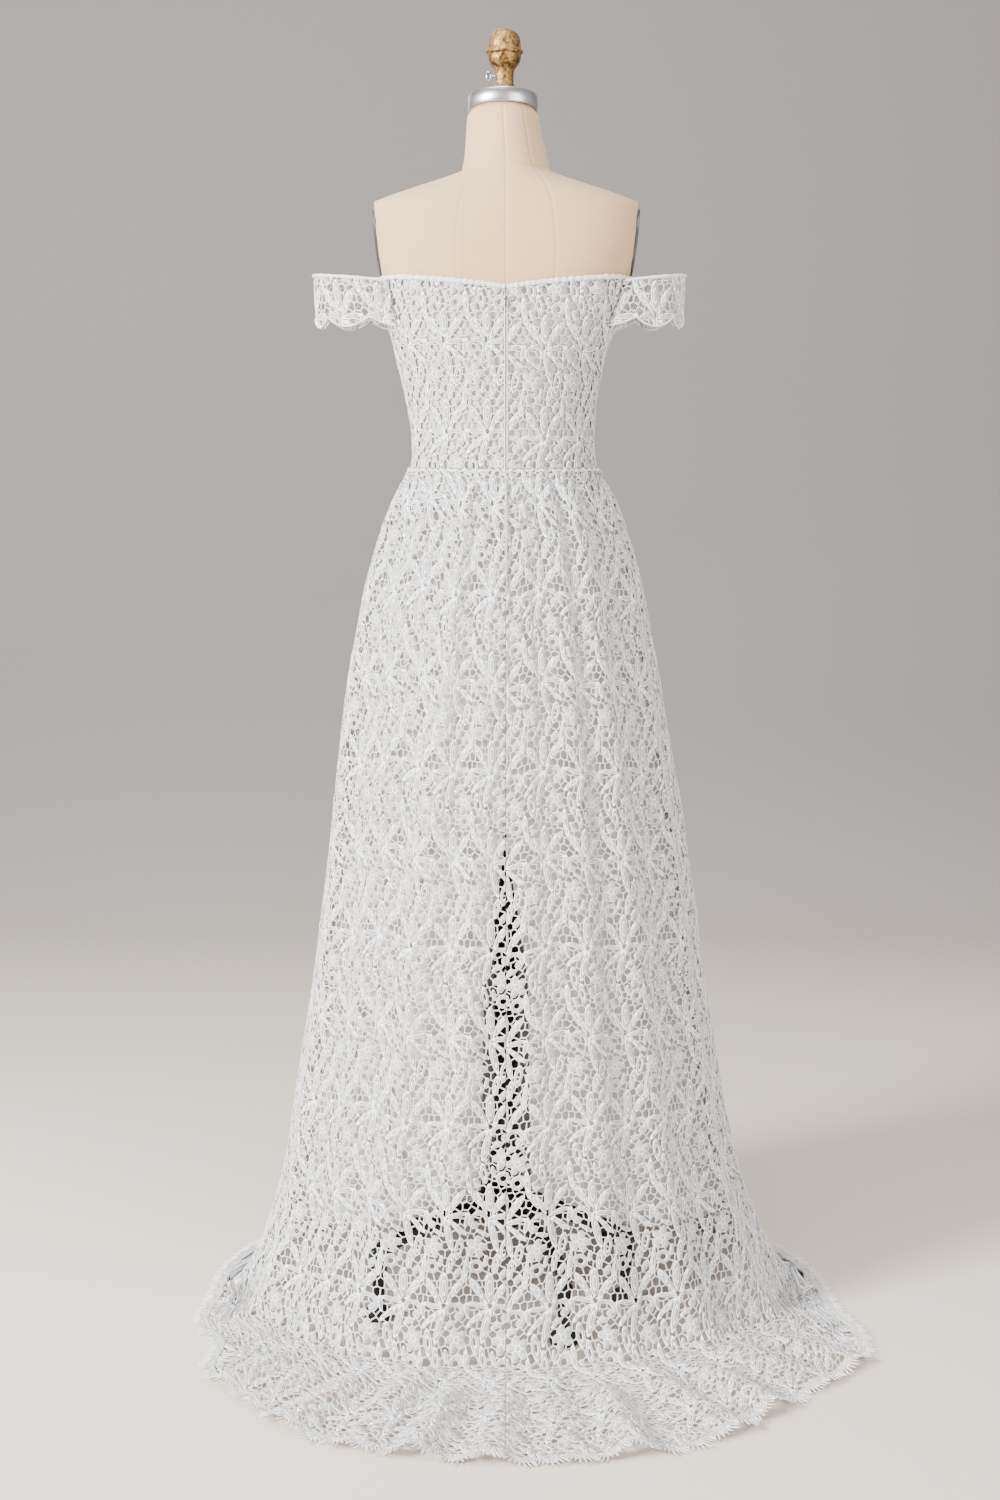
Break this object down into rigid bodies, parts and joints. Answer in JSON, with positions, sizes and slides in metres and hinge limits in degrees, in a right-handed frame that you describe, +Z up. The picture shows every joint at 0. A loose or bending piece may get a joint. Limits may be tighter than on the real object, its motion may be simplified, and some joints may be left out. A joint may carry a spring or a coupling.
{
  "type": "wedding dress on a dress form",
  "caption": "Off-the-shoulder white guipure lace wedding dress with a short train, worn by a limbless dress form on its stand.",
  "frame": {"origin": "on the floor, midway across the part from side to side and from front to back", "axes": "+Z up, +Y towards the train at the back, +X towards the dress's left side"},
  "size_m": [0.9074, 0.9294, 1.7409],
  "materials": {
    "lace": "white guipure lace",
    "lining": "smooth pale lining",
    "zip_tape": "woven tape",
    "canvas": "natural canvas",
    "brass": "aged",
    "aluminium": "brushed",
    "chrome": "plated",
    "dark_steel": "dark",
    "black_paint": "satin",
    "rubber": "matt"
  },
  "bodies": {
    "dress_and_form": {"bodice_back_left": "lace", "bodice_back_right": "lace", "bodice_front": "lace", "bodice_lining": "lining", "neckline_cord": "lace", "sleeve_left": "lace", "sleeve_right": "lace", "skirt_left": "lace", "skirt_right": "lace", "skirt_lining": "lining", "zip_tape_bodice": "zip_tape", "zip_tape_skirt": "zip_tape", "zip_slider": "chrome", "hook_and_eye": "chrome", "form_body": "canvas", "neck_cap": "aluminium", "finial": "brass", "arm_plate_left": "dark_steel", "arm_plate_right": "dark_steel", "pole": "black_paint", "stand_hub": "black_paint", "stand_leg_1": "black_paint", "stand_foot_1": "rubber", "stand_leg_2": "black_paint", "stand_foot_2": "rubber", "stand_leg_3": "black_paint", "stand_foot_3": "rubber", "stand_leg_4": "black_paint", "stand_foot_4": "rubber", "stand_leg_5": "black_paint", "stand_foot_5": "rubber"},
    "zip_pull": {"zip_pull": "chrome"},
    "finial_screw": {"finial_screw": "chrome"}
  },
  "joints": [
    {"name": "zip_pull_hinge", "type": "hinge", "parent": "dress_and_form", "child": "zip_pull", "pos_m": [0.03009, -0.0263, 1.38], "axis": [1, 0, 0], "range_deg": [0, 140]},
    {"name": "finial_screw_turn", "type": "hinge", "parent": "dress_and_form", "child": "finial_screw", "pos_m": [0.04499, -0.13736, 1.6795], "axis": [1, 0, 0], "continuous": true}
  ]
}
